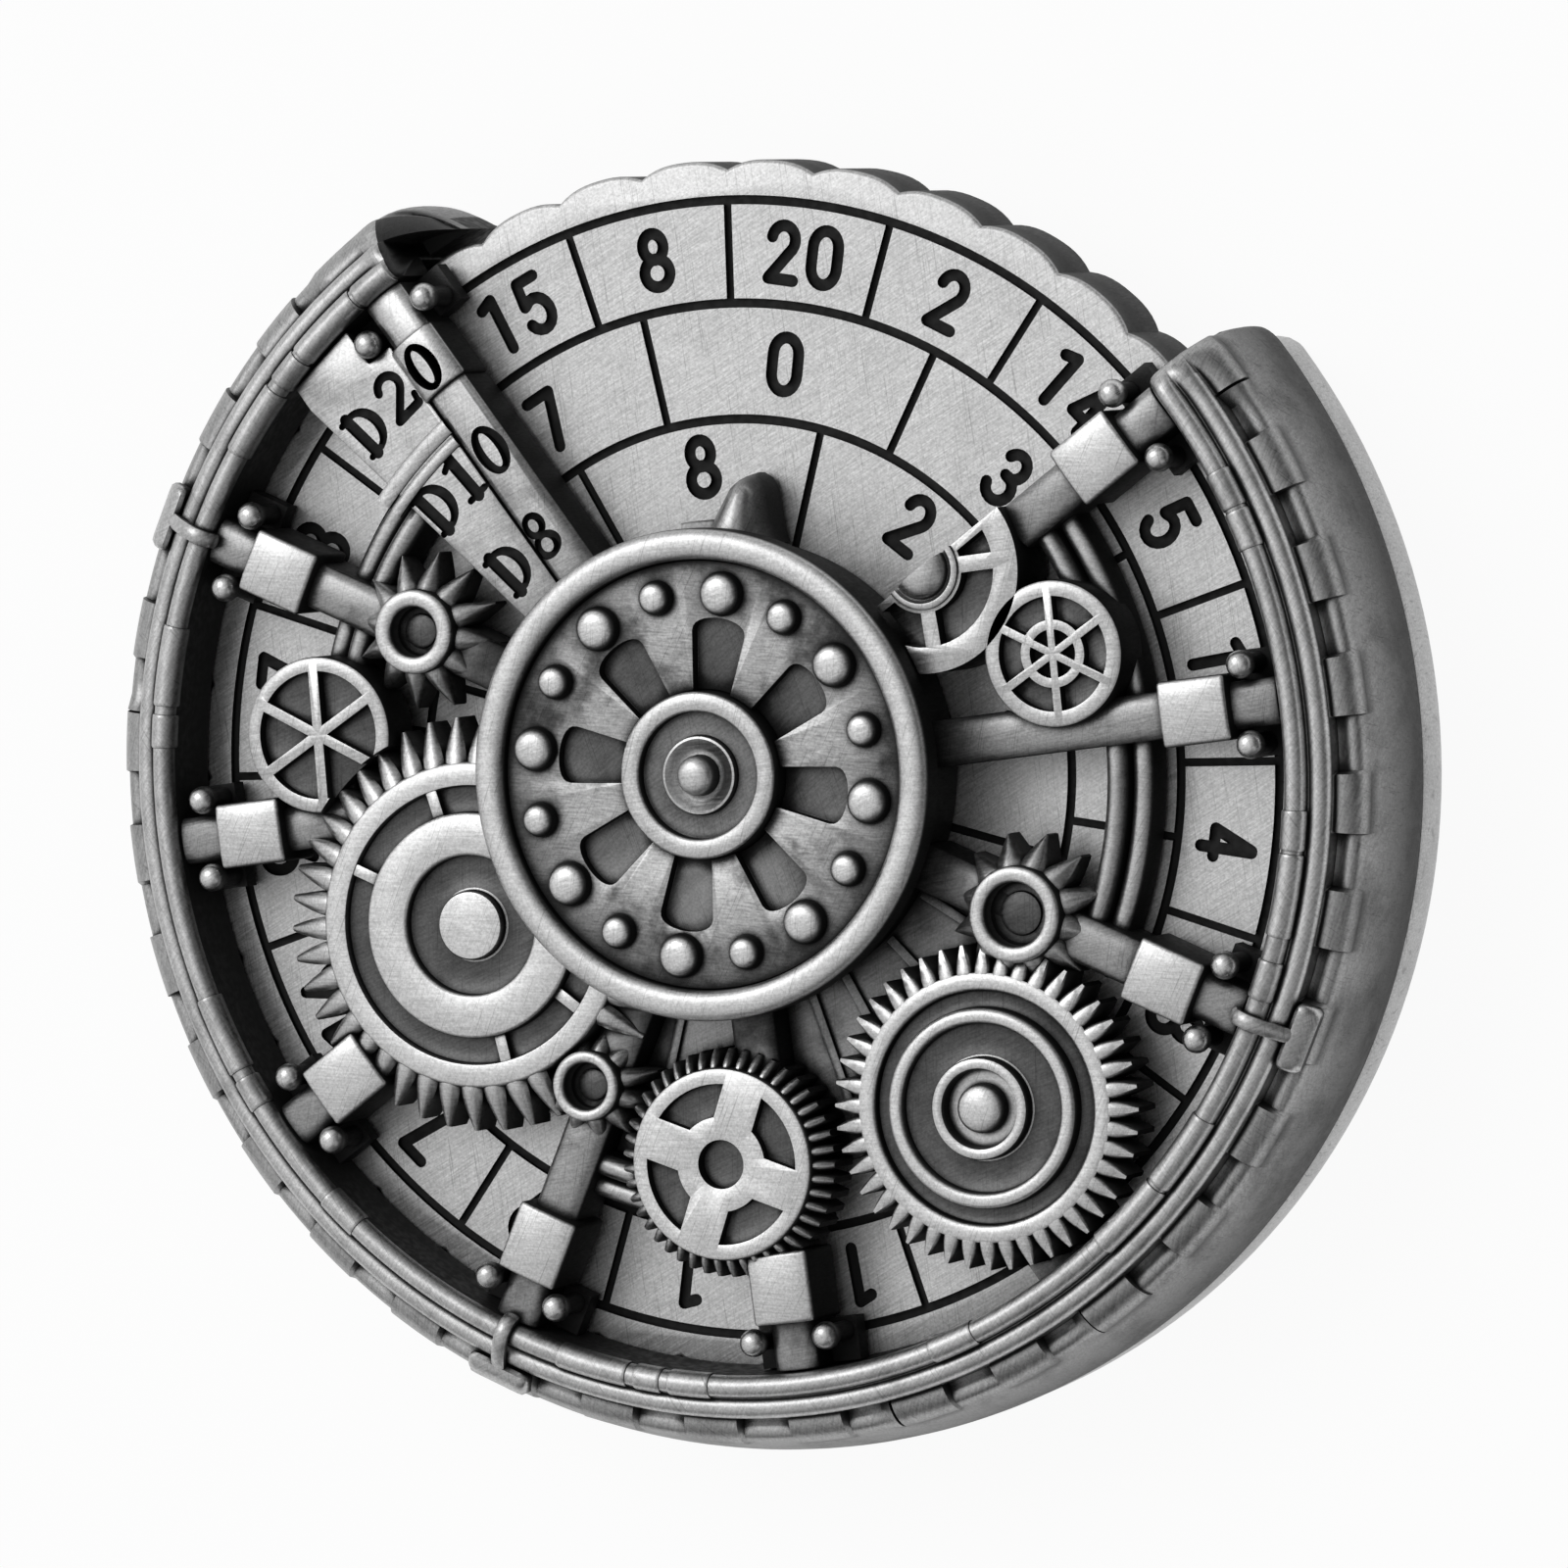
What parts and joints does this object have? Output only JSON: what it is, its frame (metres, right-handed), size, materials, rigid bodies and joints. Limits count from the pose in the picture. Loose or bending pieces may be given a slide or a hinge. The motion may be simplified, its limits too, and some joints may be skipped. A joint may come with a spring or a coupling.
{
  "type": "dice spinner",
  "caption": "Pocket dice spinner in antique pewter: a numbered dial turns on a ball bearing inside a C-shaped shell trimmed with cast gears and spokes, read by a pointer",
  "frame": {"origin": "on the dial's axis, at the flat back face that the spinner rests on", "axes": "+Z is the dial's axis, from the back to the front; +Y points to the middle of the window; +X is to the right, seen from the front"},
  "size_m": [0.0568, 0.0532, 0.0123],
  "materials": {
    "bright_pewter": "cast zinc alloy, antique pewter plating brushed bright on its raised faces",
    "dark_pewter": "cast zinc alloy, antique pewter plating left dark",
    "bearing_steel": "ground bearing steel",
    "cage_brass": "pressed brass",
    "screw_steel": "plain steel"
  },
  "bodies": {
    "shell": {"front_shell": "bright_pewter", "hub_bezel": "bright_pewter", "hub_boss": "bright_pewter", "pointer": "bright_pewter", "label_plate": "bright_pewter", "left_gear": "bright_pewter", "bottom_gear": "bright_pewter", "right_gear": "bright_pewter", "upper_left_pinion": "bright_pewter", "lower_left_pinion": "bright_pewter", "lower_right_pinion": "bright_pewter", "left_wheel": "bright_pewter", "right_wheel": "bright_pewter", "half_wheel": "bright_pewter", "spoke_1": "bright_pewter", "spoke_2": "bright_pewter", "spoke_3": "bright_pewter", "spoke_4": "bright_pewter", "spoke_5": "bright_pewter", "spoke_6": "bright_pewter", "spoke_7": "bright_pewter", "spoke_8": "bright_pewter", "spoke_9": "bright_pewter", "rim_strap_1": "bright_pewter", "rim_strap_2": "bright_pewter", "rim_strap_3": "bright_pewter", "back_cover": "dark_pewter", "hub_base": "dark_pewter", "hub_cap": "dark_pewter", "gear_deck": "dark_pewter", "rail_1": "dark_pewter", "rail_2": "dark_pewter", "rail_3": "dark_pewter", "rail_4": "dark_pewter", "rail_5": "dark_pewter", "anchor_1": "dark_pewter", "anchor_2": "dark_pewter", "anchor_3": "dark_pewter", "anchor_4": "dark_pewter", "anchor_5": "dark_pewter", "anchor_6": "dark_pewter", "anchor_7": "dark_pewter", "anchor_8": "dark_pewter", "anchor_9": "dark_pewter", "bearing_inner_race": "bearing_steel", "axle_screw": "screw_steel", "cover_screw_1": "screw_steel", "cover_screw_2": "screw_steel", "cover_screw_3": "screw_steel"},
    "dial": {"number_dial": "bright_pewter", "bearing_outer_race": "bearing_steel"},
    "cage": {"bearing_cage": "cage_brass", "bearing_ball_1": "bearing_steel", "bearing_ball_2": "bearing_steel", "bearing_ball_3": "bearing_steel", "bearing_ball_4": "bearing_steel", "bearing_ball_5": "bearing_steel", "bearing_ball_6": "bearing_steel", "bearing_ball_7": "bearing_steel"}
  },
  "joints": [
    {"name": "dial_spin", "type": "hinge", "parent": "shell", "child": "dial", "pos_m": [0, 0, 0.00485], "axis": [0, 0, 1], "continuous": true},
    {"name": "cage_spin", "type": "hinge", "parent": "shell", "child": "cage", "pos_m": [0, 0, 0.00485], "axis": [0, 0, 1], "continuous": true}
  ],
  "couplings": [
    {"joint": "cage_spin", "follows": "dial_spin", "ratio": 0.6253}
  ]
}
